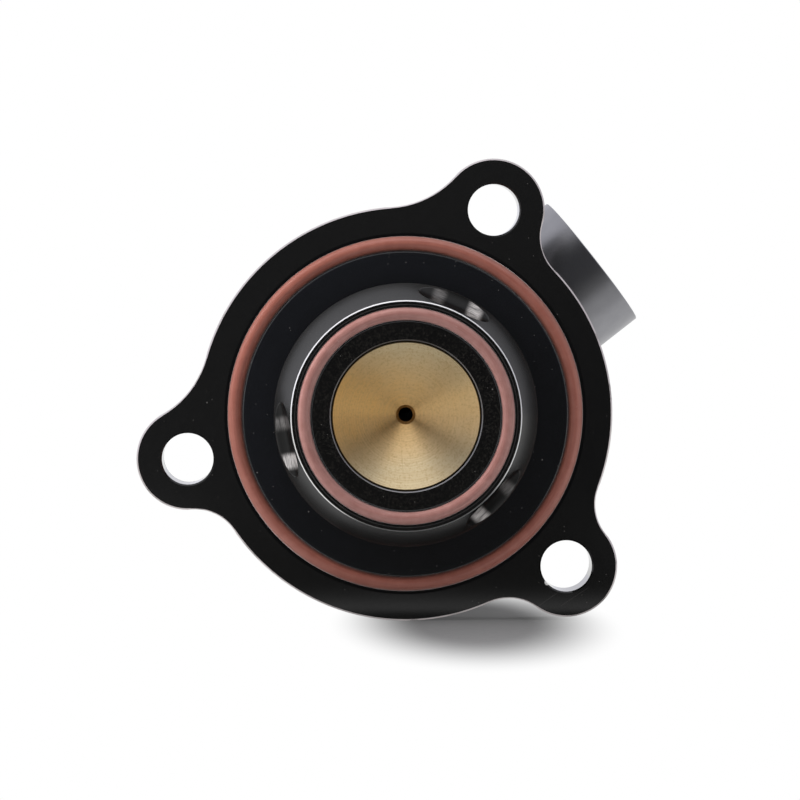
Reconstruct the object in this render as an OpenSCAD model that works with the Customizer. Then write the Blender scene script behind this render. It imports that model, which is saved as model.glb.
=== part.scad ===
// Pilot-operated blow off valve with a three-ear flange, a brass piston and a side vent.
// Every piece is drawn with the valve axis upright: z = 0 is the mounting face, the nose points
// to +z and the body and its solenoid hang below. laid() then turns the nose towards -Y.

/* [Flange] */
// Diameter of the round part of the flange
flange_d = 54.7; // [52:0.1:58]
// Thickness of the flange
flange_t = 6; // [5:0.25:8]
// Diameter of the circle through the bolt holes
bolt_circle_d = 58.6; // [57:0.2:62]
// Diameter of the bolt holes, for M6
bolt_hole_d = 6.8; // [6.2:0.1:7.4]
// Diameter of the round ears
ear_d = 13.5; // [12:0.1:15]
// Radius of the hollow blend between ear and flange
ear_blend_r = 6.2; // [5:0.1:10]
// Radius of the wider blends on the side between the first ear and the second
wide_blend_r = 12.5; // [10:0.5:16]
// Direction of the first ear, seen from the nose
first_ear_angle = 66.6; // [60:0.2:75]
// Angle from the first ear to the second and from the second to the third
ear_step_angle = 125; // [115:1:130]
// Edge break on the flange outline and on the bolt holes
edge_break = 0.2; // [0.1:0.05:0.5]

/* [Nose] */
// Height of the nose above the mounting face
nose_h = 6.8; // [6:0.1:8]
// Diameter of the nose at its front edge
nose_tip_d = 30.2; // [29.8:0.1:31]
// Diameter of the nose below its cone
nose_base_d = 34.6; // [33.6:0.2:36]
// Slope of the nose cone, from the valve axis
nose_cone_angle = 32.5; // [30:0.5:40]
// Edge break on the nose tip
tip_break = 0.15; // [0.05:0.05:0.3]
// Diameter of the raised register that centres the flange seal
register_d = 42.8; // [41:0.2:44]
// Height of the register above the mounting face
register_h = 0.9; // [0.5:0.1:1.4]
// Diameter of the cutter that scallops the nose cone
scallop_cutter_d = 6; // [5:0.5:7]
// Depth of each scallop
scallop_depth = 0.7; // [0.4:0.05:0.8]

/* [Seals] */
// Cord of the flange seal
flange_seal_cord = 2; // [1.6:0.05:2.2]
// Depth of the flange seal groove below the mounting face
flange_groove_depth = 1.4; // [1.1:0.05:1.6]
// Spare width of the flange seal groove
flange_groove_spare = 0.45; // [0.2:0.05:0.8]
// Cord of the nose seal
nose_seal_cord = 1.78; // [1.5:0.02:1.9]
// Width of the land between the nose seal and the nose's edge
nose_land_w = 0.81; // [0.6:0.01:1.1]
// Depth of the nose seal groove
nose_groove_depth = 1.35; // [1.1:0.05:1.5]
// Gland depth of the three inner seals
gland_depth = 1.1; // [0.9:0.05:1.3]
// Width of the groove of each inner seal
gland_w = 1.6; // [1.4:0.05:1.8]
// Clearance between a seated piece and its seat
seat_gap = 0.05; // [0.02:0.01:0.1]

/* [Piston] */
// Diameter of the piston
piston_d = 19.54; // [19:0.02:20]
// Radial running clearance of the piston and the plunger
run_gap = 0.08; // [0.04:0.01:0.1]
// How far the piston front stands behind the nose
piston_setback = 0.2; // [0.1:0.05:0.6]
// Depth of the dished piston face
dish_depth = 4.8; // [3.5:0.1:5.2]
// Flat rim around the dish
piston_rim_w = 0.2; // [0.1:0.05:0.6]
// Diameter of the pilot hole
pilot_hole_d = 1.9; // [1.4:0.1:2.4]
// Diameter of the countersink of the pilot hole
pilot_sink_d = 2.6; // [2.5:0.1:3.4]
// Thickness of the piston crown at the pilot hole
crown_t = 2.2; // [1.8:0.1:2.6]
// Diameter of the spring pocket inside the piston
spring_pocket_d = 15; // [14.6:0.1:15.6]
// Diameter of the collar that stops the piston
collar_d = 21.2; // [20.8:0.1:21.6]
// Length of the collar
collar_l = 4; // [3.4:0.2:5]
// Travel of the piston
piston_travel = 12; // [9:0.5:14]
// Width of the guide ring in the collar
guide_ring_w = 2; // [1.4:0.1:2.2]

/* [Return spring] */
// Wire of the return spring
spring_wire_d = 1.2; // [0.9:0.05:1.4]
// Diameter of the return spring at the middle of its wire
spring_d = 12; // [11.6:0.1:12.6]
// Turns of the return spring
spring_turns = 9; // [7:1:10]

/* [Body] */
// Diameter of the barrel behind the flange
barrel_d = 37; // [35:0.5:38.5]
// Diameter of the collar that carries the solenoid
rear_collar_d = 44; // [43.6:0.1:45]
// Length of that collar
rear_collar_l = 7.5; // [7:0.25:9]
// Diameter of the gallery around the sleeve
gallery_d = 28.4; // [27.6:0.1:28.8]
// Depth of the front of the gallery behind the mounting face
gallery_front = 0.5; // [0:0.1:1]

/* [Guide sleeve] */
// Outer diameter of the sleeve
sleeve_d = 23.4; // [23:0.1:24]
// Depth of the front of the sleeve
sleeve_front = 6.5; // [5.5:0.25:7.5]
// Depth of the shoulder that stops the piston
sleeve_shoulder = 12; // [11.5:0.1:12.4]
// Diameter of the sleeve's rear flange
sleeve_flange_d = 30.2; // [30:0.1:30.8]
// Thickness of the sleeve's rear flange
sleeve_flange_t = 4; // [3.6:0.1:4.4]
// Diameter of the bleed holes
bleed_hole_d = 1.2; // [0.8:0.1:1.3]
// Number of bleed holes
bleed_holes = 6; // [3:1:8]
// Bore of the pilot seat
pilot_seat_d = 2.8; // [2.2:0.1:3.2]
// Depth of the pilot chamber behind the sleeve
pilot_chamber_l = 1.45; // [1.4:0.05:2.5]

/* [Vent] */
// Direction of the vent, seen from the nose
vent_angle = 38; // [30:1:46]
// Depth of the vent axis behind the mounting face
vent_depth = 17.5; // [16.5:0.25:18.5]
// Outer diameter of the vent outlet
vent_d = 19.8; // [19:0.1:20.6]
// Bore of the vent outlet
vent_bore_d = 14; // [12:0.2:14.4]
// Reach of the vent outlet from the valve axis
vent_reach = 32.7; // [30:0.1:36]
// Edge break on the end of the vent
vent_break = 0.1; // [0.05:0.05:0.3]
// Diameter of the boss that carries the outlet
vent_boss_d = 24; // [22.6:0.2:24.4]
// Reach of the boss from the valve axis
vent_boss_reach = 21; // [20.5:0.25:22]
// Diameter of the spigot inside the boss
vent_spigot_d = 18.1; // [17.8:0.1:18.6]
// Length of the spigot
vent_spigot_l = 5; // [4.4:0.1:5.4]

/* [Solenoid] */
// Outer diameter of the solenoid housing
housing_d = 32; // [31.6:0.1:32.4]
// Wall of the solenoid housing
housing_wall = 2.3; // [2:0.1:2.5]
// Thickness of the housing flange
housing_flange_t = 4; // [3.4:0.2:4.6]
// Thickness of the pole plate
pole_plate_t = 2.5; // [2:0.1:3]
// Wall of the flux can
can_wall = 1.2; // [1:0.1:1.5]
// Thickness of the end of the flux can
can_end_t = 1.5; // [1.2:0.1:2]
// Length of the coil bobbin
bobbin_l = 21.4; // [20.5:0.1:24]
// Thickness of the bobbin's walls
bobbin_wall = 1.1; // [0.9:0.05:1.3]
// Bore of the plunger guide tube
tube_bore_d = 9.2; // [8.8:0.1:9.6]
// Wall of the plunger guide tube
tube_wall = 0.5; // [0.4:0.05:0.7]
// Length of the plunger
plunger_l = 10; // [9:0.25:11]
// Travel of the plunger
plunger_travel = 1.5; // [1:0.1:2]
// Diameter of the rubber tip on the plunger
plunger_tip_d = 5.2; // [4.8:0.1:5.6]
// Wire of the plunger spring
plunger_spring_wire_d = 0.5; // [0.4:0.05:0.6]
// Turns of the plunger spring
plunger_spring_turns = 7; // [5:1:8]

/* [Solenoid screws] */
// Diameter of the solenoid screws
screw_d = 3; // [2.5:0.1:3.2]
// Diameter of the circle through the solenoid screws
screw_circle_d = 38.4; // [38.2:0.1:38.6]
// Length of the screw shanks
screw_l = 8; // [7:0.25:8.5]
// Diameter of the screw heads
screw_head_d = 5.5; // [5:0.1:5.6]
// Thickness of the screw washers
washer_t = 0.5; // [0.4:0.05:0.8]

/* [Connector] */
// Direction of the connector, seen from the nose
connector_angle = 0; // [-5:1:5]
// Reach of the connector from the valve axis
connector_reach = 28.5; // [27.5:0.25:31]
// Width of the connector across the valve axis
connector_w = 16; // [15:0.25:17]
// Depth of the connector along the valve axis
connector_h = 11.5; // [11:0.25:13]
// Wall of the connector
connector_wall = 1.5; // [1.2:0.1:1.8]
// Depth of the connector's socket
socket_depth = 10; // [9.5:0.25:11]
// Width of each terminal
terminal_w = 2.3; // [1.8:0.1:2.8]
// Thickness of each terminal
terminal_t = 0.8; // [0.6:0.1:1]
// Distance between the terminals
terminal_pitch = 5; // [4:0.25:6]
// How far the terminals stand in the socket
terminal_l = 5.5; // [4:0.25:5.6]

/* [Hidden] */

$fn = 72;
// Steps around each turn of a spring, and sides of its wire
spring_steps = 18;
spring_sides = 8;
// How far a cutting shape runs past the face it cuts
past = 1;

// Flange
flange_r = flange_d / 2;
bolt_r = bolt_circle_d / 2;
ear_r = ear_d / 2;
ear_angles = [for (i = [0 : 2]) first_ear_angle + i * ear_step_angle];
// Radius of the hollow blend on the clockwise and the anticlockwise side of each ear
blend_radii = [[ear_blend_r, wide_blend_r], [wide_blend_r, ear_blend_r], [ear_blend_r, ear_blend_r]];
blend_sides = [-1, 1];
// Overlap of a hollow blend with the disc and the ear, so that their outlines cross
blend_over = 0.04;
// A hollow blend's edge break is shallower by more than the overlap, so that no two breaks coincide
blend_break = edge_break - 1.5 * blend_over;

// Nose and seals
nose_tip_r = nose_tip_d / 2;
nose_base_r = nose_base_d / 2;
cone_h = (nose_base_r - nose_tip_r) / tan(nose_cone_angle);
register_r = register_d / 2;
flange_seal_r = register_r + seat_gap + flange_seal_cord / 2;
groove_outer_r = register_r + flange_seal_cord + flange_groove_spare;
nose_groove_w = nose_seal_cord + 2 * seat_gap;
nose_seal_r = nose_tip_r - nose_land_w - nose_groove_w / 2;
gland_cord = gland_depth - 2 * seat_gap;

// Piston
piston_r = piston_d / 2;
piston_bore_r = piston_r + run_gap;
collar_r = collar_d / 2;
collar_bore_r = collar_r + run_gap;
piston_front = nose_h - piston_setback;
dish_floor = piston_front - dish_depth;
sink_depth = (pilot_sink_d - pilot_hole_d) / 2;
crown_back = dish_floor - crown_t;
spring_boss_gap = 0.6;
spring_boss_h = 1.6;
spring_boss_r = (spring_d - spring_wire_d) / 2 - spring_boss_gap;
spring_seat = crown_back + spring_boss_h;
collar_front = -sleeve_shoulder - seat_gap;
piston_back = collar_front - collar_l;
guide_groove_depth = 1;
guide_ring_mid = collar_front - collar_l / 2;

// Sleeve and body
sleeve_r = sleeve_d / 2;
gallery_r = gallery_d / 2;
sleeve_flange_r = sleeve_flange_d / 2;
sleeve_seat_r = sleeve_flange_r + 2 * seat_gap;
chamber_spare = 1;
chamber_end = piston_back - piston_travel - chamber_spare;
sleeve_back = chamber_end - sleeve_flange_t;
sleeve_gland_r = sleeve_seat_r - gland_depth;
bleed_r = (sleeve_r + sleeve_gland_r) / 2;
pilot_seat_h = 1.2;
pilot_seat_lip = 0.5;
pilot_seat_tip = sleeve_back - pilot_seat_h;
body_back = sleeve_back - pilot_chamber_l;
barrel_r = barrel_d / 2;
rear_collar_r = rear_collar_d / 2;
collar_ramp = rear_collar_r - barrel_r;

// Vent
vent_boss_r = vent_boss_d / 2;
vent_hole_r = vent_spigot_d / 2 + seat_gap;
vent_spigot_start = vent_boss_reach - vent_spigot_l;
vent_gland_r = vent_hole_r - gland_depth;

// Solenoid
housing_r = housing_d / 2;
can_r = housing_r - housing_wall - seat_gap;
can_bore_r = can_r - can_wall;
tube_bore_r = tube_bore_d / 2;
tube_r = tube_bore_r + tube_wall;
plate_back = body_back - pole_plate_t;
bobbin_front = plate_back - seat_gap;
bobbin_back = bobbin_front - bobbin_l;
can_floor = bobbin_back - seat_gap;
can_back = can_floor - can_end_t;
housing_floor = can_back - seat_gap;
housing_back = housing_floor - housing_wall;
bobbin_core_r = tube_r + seat_gap + bobbin_wall;
bobbin_flange_r = can_bore_r - 2 * seat_gap;
spigot_back = sleeve_back - seat_gap;

// Plunger
plunger_r = tube_bore_r - run_gap;
tip_front = pilot_seat_tip - seat_gap;
tip_sunk = 1;
plunger_setback = 1.5;
plunger_front = body_back - plunger_setback;
plunger_back = plunger_front - plunger_l;
pole_spare = 0.1;
pole_face = plunger_back - plunger_travel - pole_spare;
plunger_pocket_r = 2.9;
plunger_pocket_depth = 4;
pole_pocket_depth = 3;
pole_stud_r = 2.5;

// Screws
screw_r = screw_d / 2;
screw_angles = [60, 180, 300];
screw_circle_r = screw_circle_d / 2;
housing_flange_back = body_back - housing_flange_t;
washer_back = housing_flange_back - washer_t;
screw_head_h = screw_d;
screw_tail = 0.5;
screw_hole_r = screw_r + 2 * seat_gap;
housing_gland_wall = 0.5;
housing_gland_r = screw_circle_r - screw_hole_r - housing_gland_wall - gland_w / 2;

// Connector
connector_mid = (housing_flange_back + housing_back) / 2;
socket_floor = connector_reach - socket_depth;
connector_corner_r = 2.5;
socket_corner_r = 1.2;
terminal_root = 0.3;

// Turns a piece from its upright drawing into the valve's own frame
module laid() {
    rotate([90, 0, 0]) children();
}

// Draws children along the vent axis, with z running outwards from the valve axis
module along_vent() {
    translate([0, 0, -vent_depth]) rotate([0, 0, vent_angle]) rotate([0, 90, 0]) children();
}

// Draws children along the connector axis, with z running outwards and x along the valve axis
module along_connector() {
    translate([0, 0, connector_mid]) rotate([0, 0, connector_angle]) rotate([0, 90, 0]) children();
}

// A turned piece from an outline of [radius, height] points
module turned(outline) {
    rotate_extrude() polygon(outline);
}

// A plain ring between two heights
module ring(inner_r, outer_r, low, high) {
    turned([[inner_r, low], [outer_r, low], [outer_r, high], [inner_r, high]]);
}

// A round-section seal
module seal(mid_r, cord, height) {
    translate([0, 0, height]) rotate_extrude() translate([mid_r, 0]) circle(d = cord, $fn = 36);
}

// A rod from one height to another
module rod(r, low, high) {
    translate([0, 0, low]) cylinder(h = high - low, r = r);
}

// A rectangle with round corners
module rounded_rectangle(w, h, r) {
    square([w - 2 * r, h], center = true);
    square([w, h - 2 * r], center = true);
    for (x = [-1, 1], y = [-1, 1]) translate([x * (w / 2 - r), y * (h / 2 - r)]) circle(r = r);
}

// A coil spring with closed ends, from one height to another
function spring_point(mid_r, low, high, turns, wire, u) =
    let (
        closed = 1 / turns,
        free = max(0, min(1, (u - closed) / (1 - 2 * closed))),
        rise = wire * (min(u, closed) + max(0, u - 1 + closed)) / closed,
        open = high - low - 3 * wire
    )
    [mid_r * cos(360 * turns * u), mid_r * sin(360 * turns * u), low + wire / 2 + rise + open * free];

module coil_spring(mid_r, low, high, turns, wire) {
    count = turns * spring_steps;
    rings = [for (i = [0 : count])
        let (
            u = i / count,
            a = 360 * turns * u,
            p = spring_point(mid_r, low, high, turns, wire, u)
        )
        for (k = [0 : spring_sides - 1])
            let (b = 360 * k / spring_sides)
            p + wire / 2 * [cos(b) * cos(a), cos(b) * sin(a), sin(b)]];
    walls = [for (i = [0 : count - 1], k = [0 : spring_sides - 1])
        let (
            near = i * spring_sides,
            far = near + spring_sides,
            n = (k + 1) % spring_sides
        )
        [near + k, far + k, far + n, near + n]];
    start = [for (k = [0 : spring_sides - 1]) k];
    end = [for (k = [spring_sides - 1 : -1 : 0]) count * spring_sides + k];
    polyhedron(points = rings, faces = concat([start], walls, [end]));
}

// Angle between an ear and the centre of its hollow blend of radius r
function blend_angle(r) =
    acos((bolt_r ^ 2 + (flange_r + r) ^ 2 - (ear_r + r) ^ 2) / (2 * bolt_r * (flange_r + r)));

// Centre of the hollow blend on one side of an ear that points along +x
function blend_centre(r, side) = (flange_r + r) * [cos(blend_angle(r)), side * sin(blend_angle(r))];

// Angle on an ear's own rim from its tip to where the blend takes over
function ear_turn(r) =
    let (centre = blend_centre(r, 1))
    atan2(centre[1], centre[0] - bolt_r);

// Outline of the flange: a disc, ears and webs, hollowed by the blends
module flange_outline() {
    difference() {
        union() {
            circle(r = flange_r);
            for (i = [0 : 2]) rotate(ear_angles[i]) {
                translate([bolt_r, 0]) circle(r = ear_r);
                for (k = [0, 1])
                    polygon([[0, 0], [bolt_r, 0], blend_centre(blend_radii[i][k], blend_sides[k])]);
            }
        }
        for (i = [0 : 2], k = [0, 1])
            rotate(ear_angles[i])
                translate(blend_centre(blend_radii[i][k], blend_sides[k]))
                    circle(r = blend_radii[i][k] + blend_over);
    }
}

// Cutter that breaks both edges of a round rim between two directions
module edge_cutter(r, from, to) {
    reach = edge_break + past;
    rotate([0, 0, from]) rotate_extrude(angle = to - from) {
        for (face = [[0, 1], [-flange_t, -1]])
            polygon([
                [r - reach, face[0] + face[1] * past],
                [r + past, face[0] + face[1] * past],
                [r + past, face[0] - face[1] * reach]
            ]);
    }
}

// Cutter that breaks both edges of a hollow blend of radius r
module blend_edge_cutter(r) {
    reach = blend_break + past;
    for (face = [[0, 1], [-flange_t, -1]])
        turned([
            [0, face[0] + face[1] * past],
            [r + blend_over + reach, face[0] + face[1] * past],
            [r + blend_over - past, face[0] - face[1] * reach],
            [0, face[0] - face[1] * reach]
        ]);
}

// The flange with broken edges and the outer part of its seal groove
module flange_plate() {
    difference() {
        translate([0, 0, -flange_t]) linear_extrude(flange_t) flange_outline();
        ring(register_r - past, groove_outer_r, -flange_groove_depth, past);
        for (i = [0 : 2]) {
            radii = blend_radii[i];
            next_ear = i < 2 ? ear_angles[i + 1] : ear_angles[0] + 360;
            next_radius = blend_radii[(i + 1) % 3][0];
            edge_cutter(flange_r, ear_angles[i] + blend_angle(radii[1]), next_ear - blend_angle(next_radius));
            rotate([0, 0, ear_angles[i]]) {
                translate([bolt_r, 0, 0]) edge_cutter(ear_r, -ear_turn(radii[0]), ear_turn(radii[1]));
                for (k = [0, 1])
                    translate(blend_centre(radii[k], blend_sides[k])) blend_edge_cutter(radii[k]);
            }
        }
    }
}

// The turned blank: rear collar, barrel, register and nose with its seal groove
module body_blank() {
    nose_groove_in = nose_seal_r - nose_groove_w / 2;
    nose_groove_out = nose_seal_r + nose_groove_w / 2;
    turned([
        [0, body_back],
        [rear_collar_r - edge_break, body_back],
        [rear_collar_r, body_back + edge_break],
        [rear_collar_r, body_back + rear_collar_l - collar_ramp],
        [barrel_r, body_back + rear_collar_l],
        [barrel_r, -flange_t / 2],
        [register_r, -flange_t / 2],
        [register_r, register_h - edge_break / 2],
        [register_r - edge_break / 2, register_h],
        [nose_base_r, register_h],
        [nose_base_r, nose_h - cone_h],
        [nose_tip_r, nose_h - tip_break],
        [nose_tip_r - tip_break, nose_h],
        [nose_groove_out, nose_h],
        [nose_groove_out, nose_h - nose_groove_depth],
        [nose_groove_in, nose_h - nose_groove_depth],
        [nose_groove_in, nose_h],
        [0, nose_h]
    ]);
}

module bolt_hole() {
    rod(bolt_hole_d / 2, -flange_t - past, past);
    for (face = [[-flange_t, 1], [0, -1]])
        turned([
            [0, face[0]],
            [bolt_hole_d / 2 + edge_break, face[0]],
            [bolt_hole_d / 2, face[0] + face[1] * edge_break],
            [0, face[0] + face[1] * edge_break]
        ]);
}

// Lens-shaped cut across the middle of the nose cone
module scallop() {
    mid_r = (nose_tip_r + nose_base_r) / 2;
    mid_z = nose_h - cone_h / 2;
    lift = scallop_cutter_d / 2 - scallop_depth;
    translate([mid_r + lift * cos(nose_cone_angle), 0, mid_z + lift * sin(nose_cone_angle)])
        rotate([90, 0, 0]) cylinder(h = nose_tip_d, d = scallop_cutter_d, center = true);
}

module valve_body() {
    color("#1b1b1d") laid() difference() {
        union() {
            body_blank();
            flange_plate();
            along_vent() rod(vent_boss_r, 0, vent_boss_reach);
        }
        turned([
            [0, body_back - past],
            [sleeve_seat_r, body_back - past],
            [sleeve_seat_r, chamber_end],
            [gallery_r, chamber_end],
            [gallery_r, -gallery_front - (gallery_r - piston_bore_r) / 2],
            [piston_bore_r, -gallery_front],
            [piston_bore_r, nose_h - tip_break],
            [piston_bore_r + tip_break, nose_h],
            [piston_bore_r + tip_break, nose_h + past],
            [0, nose_h + past]
        ]);
        for (a = ear_angles) rotate([0, 0, a]) {
            translate([bolt_r, 0, 0]) bolt_hole();
            scallop();
        }
        for (a = screw_angles) rotate([0, 0, a]) translate([screw_circle_r, 0, 0])
            rod(screw_r + seat_gap, body_back - past, housing_flange_back + screw_l + screw_tail);
        along_vent() rod(vent_hole_r, gallery_r - vent_hole_r / 2, vent_boss_reach + past);
    }
}

module flange_seal() {
    color("#8a4a3e") laid() seal(
        flange_seal_r, flange_seal_cord, flange_seal_cord / 2 - flange_groove_depth);
}

module nose_seal() {
    color("#a4726c") laid() seal(
        nose_seal_r, nose_seal_cord, nose_h - nose_groove_depth + nose_seal_cord / 2);
}

module piston() {
    dish_r = piston_r - piston_rim_w;
    groove_low = guide_ring_mid - guide_ring_w / 2 - seat_gap;
    groove_high = guide_ring_mid + guide_ring_w / 2 + seat_gap;
    color("#b79d62") laid() turned([
        [pilot_hole_d / 2, crown_back],
        [pilot_hole_d / 2, dish_floor - sink_depth],
        [pilot_sink_d / 2, dish_floor],
        [dish_r, piston_front],
        [piston_r - tip_break, piston_front],
        [piston_r, piston_front - tip_break],
        [piston_r, collar_front],
        [collar_r, collar_front],
        [collar_r, groove_high],
        [collar_r - guide_groove_depth, groove_high],
        [collar_r - guide_groove_depth, groove_low],
        [collar_r, groove_low],
        [collar_r, piston_back],
        [spring_pocket_d / 2, piston_back],
        [spring_pocket_d / 2, spring_seat],
        [spring_boss_r, spring_seat],
        [spring_boss_r, crown_back]
    ]);
}

module piston_guide_ring() {
    color("#e8e6df") laid() ring(
        collar_r - guide_groove_depth + seat_gap, collar_r + run_gap / 2,
        guide_ring_mid - guide_ring_w / 2, guide_ring_mid + guide_ring_w / 2);
}

module return_spring() {
    color("#9a9da0") laid() coil_spring(
        spring_d / 2, chamber_end + seat_gap, spring_seat - seat_gap, spring_turns, spring_wire_d);
}

module guide_sleeve() {
    gland_low = (chamber_end + sleeve_back - gland_w) / 2;
    color("#8f9296") laid() difference() {
        turned([
            [pilot_seat_d / 2, pilot_seat_tip],
            [pilot_seat_d / 2 + pilot_seat_lip, pilot_seat_tip],
            [pilot_seat_d / 2 + pilot_seat_h, sleeve_back],
            [sleeve_flange_r, sleeve_back],
            [sleeve_flange_r, gland_low],
            [sleeve_gland_r, gland_low],
            [sleeve_gland_r, gland_low + gland_w],
            [sleeve_flange_r, gland_low + gland_w],
            [sleeve_flange_r, chamber_end],
            [sleeve_r, chamber_end],
            [sleeve_r, -sleeve_front],
            [piston_bore_r, -sleeve_front],
            [piston_bore_r, -sleeve_shoulder],
            [collar_bore_r, -sleeve_shoulder],
            [collar_bore_r, chamber_end],
            [pilot_seat_d / 2, chamber_end]
        ]);
        for (i = [0 : bleed_holes - 1]) rotate([0, 0, i * 360 / bleed_holes])
            translate([bleed_r, 0, 0]) rod(bleed_hole_d / 2, sleeve_back - past, chamber_end + past);
    }
}

module sleeve_seal() {
    color("#26221f") laid() seal(
        sleeve_gland_r + gland_depth / 2, gland_cord, (chamber_end + sleeve_back) / 2);
}

module vent_outlet() {
    gland_mid = vent_boss_reach - vent_spigot_l / 2;
    color("#151517") laid() along_vent() turned([
        [vent_bore_d / 2, vent_spigot_start],
        [vent_spigot_d / 2, vent_spigot_start],
        [vent_spigot_d / 2, gland_mid - gland_w / 2],
        [vent_gland_r, gland_mid - gland_w / 2],
        [vent_gland_r, gland_mid + gland_w / 2],
        [vent_spigot_d / 2, gland_mid + gland_w / 2],
        [vent_spigot_d / 2, vent_boss_reach],
        [vent_d / 2, vent_boss_reach],
        [vent_d / 2, vent_reach - vent_break],
        [vent_d / 2 - vent_break, vent_reach],
        [vent_bore_d / 2 + vent_break, vent_reach],
        [vent_bore_d / 2, vent_reach - vent_break]
    ]);
}

module vent_seal() {
    color("#26221f") laid() along_vent() seal(
        vent_gland_r + gland_depth / 2, gland_cord, vent_boss_reach - vent_spigot_l / 2);
}

module terminals(clearance) {
    start = housing_r - housing_wall + terminal_root;
    for (side = [-1, 1]) translate([0, side * terminal_pitch / 2, 0])
        translate([-terminal_t / 2 - clearance, -terminal_w / 2 - clearance, start - clearance])
            cube([
                terminal_t + 2 * clearance,
                terminal_w + 2 * clearance,
                socket_floor + terminal_l - start + 2 * clearance
            ]);
}

module latch_ramp() {
    ramp_from_mouth = 1.2;
    ramp_h = 1.6;
    ramp_l = 3.2;
    ramp_w = 4;
    sunk = 0.2;
    translate([connector_h / 2, ramp_w / 2, connector_reach - ramp_from_mouth])
        rotate([90, 0, 0]) linear_extrude(ramp_w)
            polygon([[-sunk, 0], [0, 0], [ramp_h, -ramp_l], [-sunk, -ramp_l]]);
}

module solenoid_housing() {
    color("#202124") laid() difference() {
        union() {
            turned([
                [can_r + seat_gap, housing_floor],
                [can_r + seat_gap, spigot_back],
                [sleeve_flange_r, spigot_back],
                [sleeve_flange_r, body_back],
                [rear_collar_r, body_back],
                [rear_collar_r, housing_flange_back + edge_break],
                [rear_collar_r - edge_break, housing_flange_back],
                [housing_r, housing_flange_back],
                [housing_r, housing_back + housing_wall / 2],
                [housing_r - housing_wall / 2, housing_back],
                [0, housing_back],
                [0, housing_floor]
            ]);
            difference() {
                along_connector() {
                    translate([0, 0, can_r + seat_gap])
                        linear_extrude(connector_reach - can_r - seat_gap)
                            rounded_rectangle(connector_h, connector_w, connector_corner_r);
                    latch_ramp();
                }
                rod(can_r + seat_gap, housing_floor, housing_flange_back);
            }
        }
        along_connector() translate([0, 0, socket_floor]) linear_extrude(socket_depth + past)
            rounded_rectangle(
                connector_h - 2 * connector_wall, connector_w - 2 * connector_wall, socket_corner_r);
        along_connector() terminals(seat_gap);
        ring(
            housing_gland_r - gland_w / 2, housing_gland_r + gland_w / 2,
            body_back - gland_depth, body_back + past);
        for (a = screw_angles) rotate([0, 0, a]) translate([screw_circle_r, 0, 0])
            rod(screw_hole_r, housing_flange_back - past, body_back + past);
    }
}

module housing_seal() {
    color("#26221f") laid() seal(housing_gland_r, gland_cord, body_back - gland_depth / 2);
}

module pole_plate() {
    color("#a7aaad") laid() ring(tube_r + seat_gap, can_r, plate_back, body_back);
}

module flux_can() {
    color("#8c8f93") laid() turned([
        [pole_stud_r + seat_gap, can_back],
        [can_r, can_back],
        [can_r, plate_back],
        [can_bore_r, plate_back],
        [can_bore_r, can_floor],
        [pole_stud_r + seat_gap, can_floor]
    ]);
}

module coil_bobbin() {
    color("#c9c4b4") laid() turned([
        [tube_r + seat_gap, bobbin_back],
        [bobbin_flange_r, bobbin_back],
        [bobbin_flange_r, bobbin_back + bobbin_wall],
        [bobbin_core_r, bobbin_back + bobbin_wall],
        [bobbin_core_r, bobbin_front - bobbin_wall],
        [bobbin_flange_r, bobbin_front - bobbin_wall],
        [bobbin_flange_r, bobbin_front],
        [tube_r + seat_gap, bobbin_front]
    ]);
}

module coil_winding() {
    color("#b4643a") laid() ring(
        bobbin_core_r + seat_gap, bobbin_flange_r - bobbin_wall / 2,
        bobbin_back + bobbin_wall + seat_gap, bobbin_front - bobbin_wall - seat_gap);
}

module plunger_tube() {
    color("#b8babc") laid() ring(tube_bore_r, tube_r, bobbin_back, body_back);
}

module pole_piece() {
    color("#9a9da1") laid() turned([
        [0, can_back],
        [pole_stud_r, can_back],
        [pole_stud_r, can_floor],
        [tube_bore_r - seat_gap, can_floor],
        [tube_bore_r - seat_gap, pole_face],
        [plunger_pocket_r, pole_face],
        [plunger_pocket_r, pole_face - pole_pocket_depth],
        [0, pole_face - pole_pocket_depth]
    ]);
}

module plunger() {
    color("#a2a5a9") laid() turned([
        [0, plunger_back + plunger_pocket_depth],
        [plunger_pocket_r, plunger_back + plunger_pocket_depth],
        [plunger_pocket_r, plunger_back],
        [plunger_r, plunger_back],
        [plunger_r, plunger_front],
        [plunger_tip_d / 2 + seat_gap, plunger_front],
        [plunger_tip_d / 2 + seat_gap, plunger_front - tip_sunk],
        [0, plunger_front - tip_sunk]
    ]);
}

module plunger_tip() {
    color("#2b2725") laid() rod(plunger_tip_d / 2, plunger_front - tip_sunk, tip_front);
}

module plunger_spring() {
    color("#9a9da0") laid() coil_spring(
        plunger_pocket_r - plunger_spring_wire_d / 2 - 3 * seat_gap,
        pole_face - pole_pocket_depth + seat_gap, plunger_back + plunger_pocket_depth - seat_gap,
        plunger_spring_turns, plunger_spring_wire_d);
}

module terminal_pins() {
    color("#c8b27a") laid() along_connector() terminals(0);
}

module solenoid_screws() {
    key_w = 2.5;
    key_depth = screw_head_h / 2;
    color("#8f9296") laid() for (a = screw_angles) rotate([0, 0, a])
        translate([screw_circle_r, 0, 0]) difference() {
            union() {
                rod(screw_r, washer_back, housing_flange_back + screw_l);
                rod(screw_head_d / 2, washer_back - screw_head_h, washer_back);
            }
            translate([0, 0, washer_back - screw_head_h - past])
                cylinder(h = key_depth + past, d = key_w / cos(30), $fn = 6);
        }
}

module screw_washers() {
    washer_over = 0.15;
    color("#a9acaf") laid() for (a = screw_angles) rotate([0, 0, a])
        translate([screw_circle_r, 0, 0])
            ring(screw_r + seat_gap, screw_head_d / 2 + washer_over, washer_back, housing_flange_back);
}

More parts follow.
